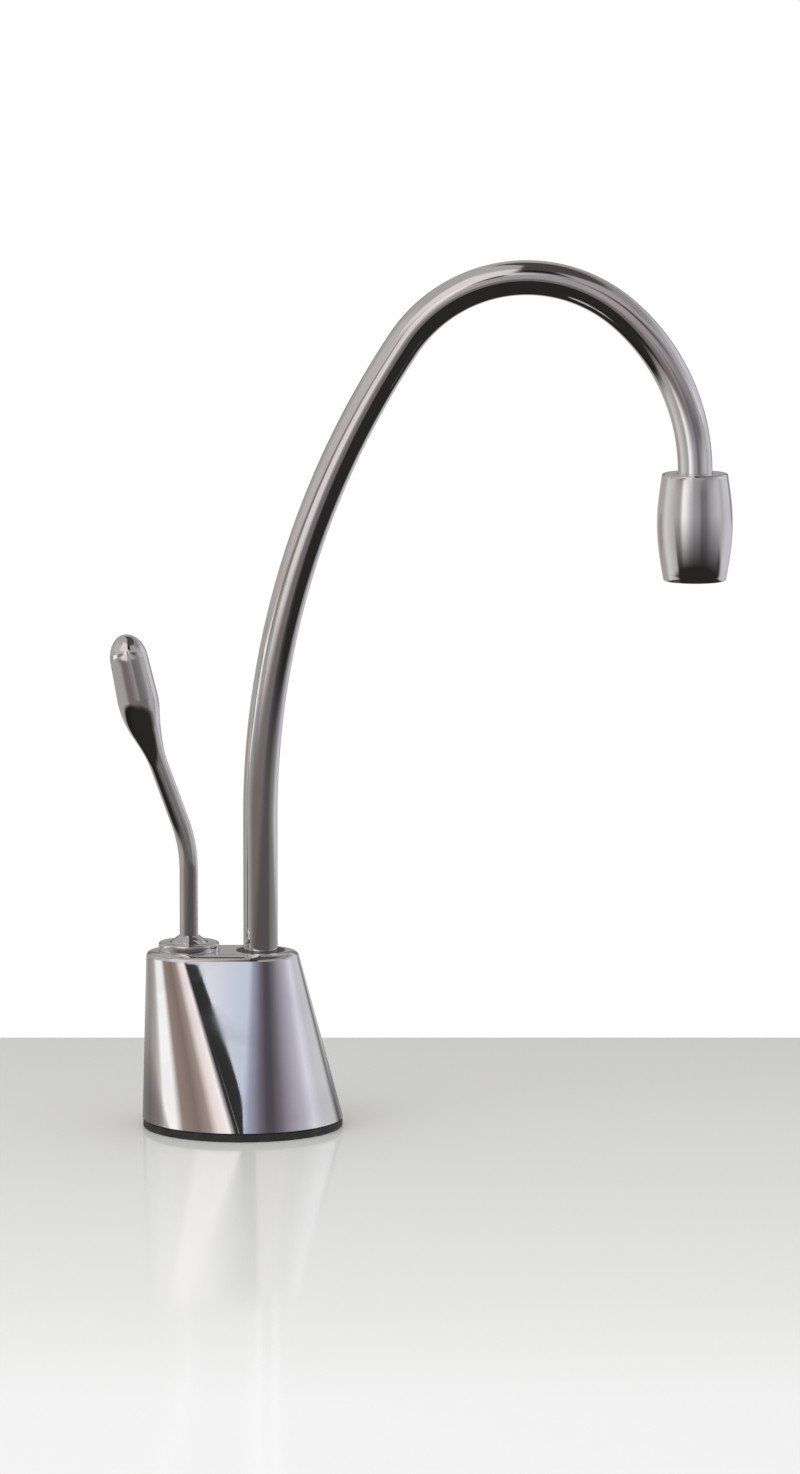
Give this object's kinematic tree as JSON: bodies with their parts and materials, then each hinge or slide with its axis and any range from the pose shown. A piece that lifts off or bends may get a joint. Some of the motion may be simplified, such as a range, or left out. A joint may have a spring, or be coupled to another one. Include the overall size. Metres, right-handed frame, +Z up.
{
  "type": "boiling water tap",
  "caption": "Deck-mounted vented boiling water tap: sheared oval body on a round base, swivelling gooseneck spout with a barrel nozzle, and a self-closing rocking lever.",
  "frame": {"origin": "centre of the round base on the worktop's surface, at the underside of the gasket", "axes": "+X towards the spout's outlet, +Y away from the picture's camera, +Z up"},
  "size_m": [0.1973, 0.064, 0.3313],
  "materials": {
    "chrome": "polished chrome plate",
    "black_rubber": "matt",
    "brass": "machined",
    "stainless": "turned stainless steel",
    "blue_plastic": "moulded",
    "white_plastic": "moulded",
    "red_plastic": "moulded",
    "black_plastic": "moulded",
    "red_enamel": "gloss inlay"
  },
  "bodies": {
    "tap_body": {"body_shell": "chrome", "base_gasket": "black_rubber", "base_plate": "brass", "base_screws": "stainless", "mounting_shank": "brass", "valve_block": "brass", "block_screws": "stainless", "passage_plugs": "brass", "valve_end_plug": "brass", "valve_seat": "stainless", "gland_nut": "brass", "stem_o_ring": "black_rubber", "cold_inlet_collet": "blue_plastic", "tank_feed_collet": "white_plastic", "hot_return_collet": "red_plastic", "port_o_rings": "black_rubber", "spout_glide_ring": "black_plastic", "spout_set_screw": "stainless", "lever_collar": "chrome", "pivot_pin": "stainless", "valve_spring": "stainless"},
    "fixing_kit": {"deck_rubber_washer": "black_rubber", "deck_steel_washer": "stainless", "mounting_nut": "brass"},
    "lever": {"lever": "chrome", "lever_ball": "chrome", "hot_marker": "red_enamel"},
    "valve_plunger": {"valve_stem": "stainless", "valve_disc": "black_rubber", "spring_retainer": "brass"},
    "spout": {"spout_tube": "chrome", "spout_spigot": "brass", "spout_o_rings": "black_rubber", "nozzle_adapter": "brass", "nozzle_shell": "chrome", "nozzle_washer": "black_rubber", "flow_straightener": "white_plastic", "nozzle_screen": "stainless"}
  },
  "joints": [
    {"name": "spout_swivel", "type": "hinge", "parent": "tap_body", "child": "spout", "pos_m": [0.0058, 0, 0.04], "axis": [0, 0, 1], "continuous": true},
    {"name": "lever_tilt", "type": "hinge", "parent": "tap_body", "child": "lever", "pos_m": [-0.017, 0, 0.0548], "axis": [0, -1, 0], "range_deg": [0, 18], "stiffness_Nm_per_rad": 1.2, "springref_deg": -8.59},
    {"name": "valve_lift", "type": "slide", "parent": "tap_body", "child": "valve_plunger", "axis": [0, 0, -1], "range_m": [0, 0.00165], "deforming": ["valve_spring"]},
    {"name": "fixing_kit_slide", "type": "slide", "parent": "tap_body", "child": "fixing_kit", "axis": [0, 0, -1], "range_m": [0, 0.1]}
  ],
  "couplings": [
    {"joint": "valve_lift", "follows": "lever_tilt", "m_per_rad": 0.0052}
  ]
}
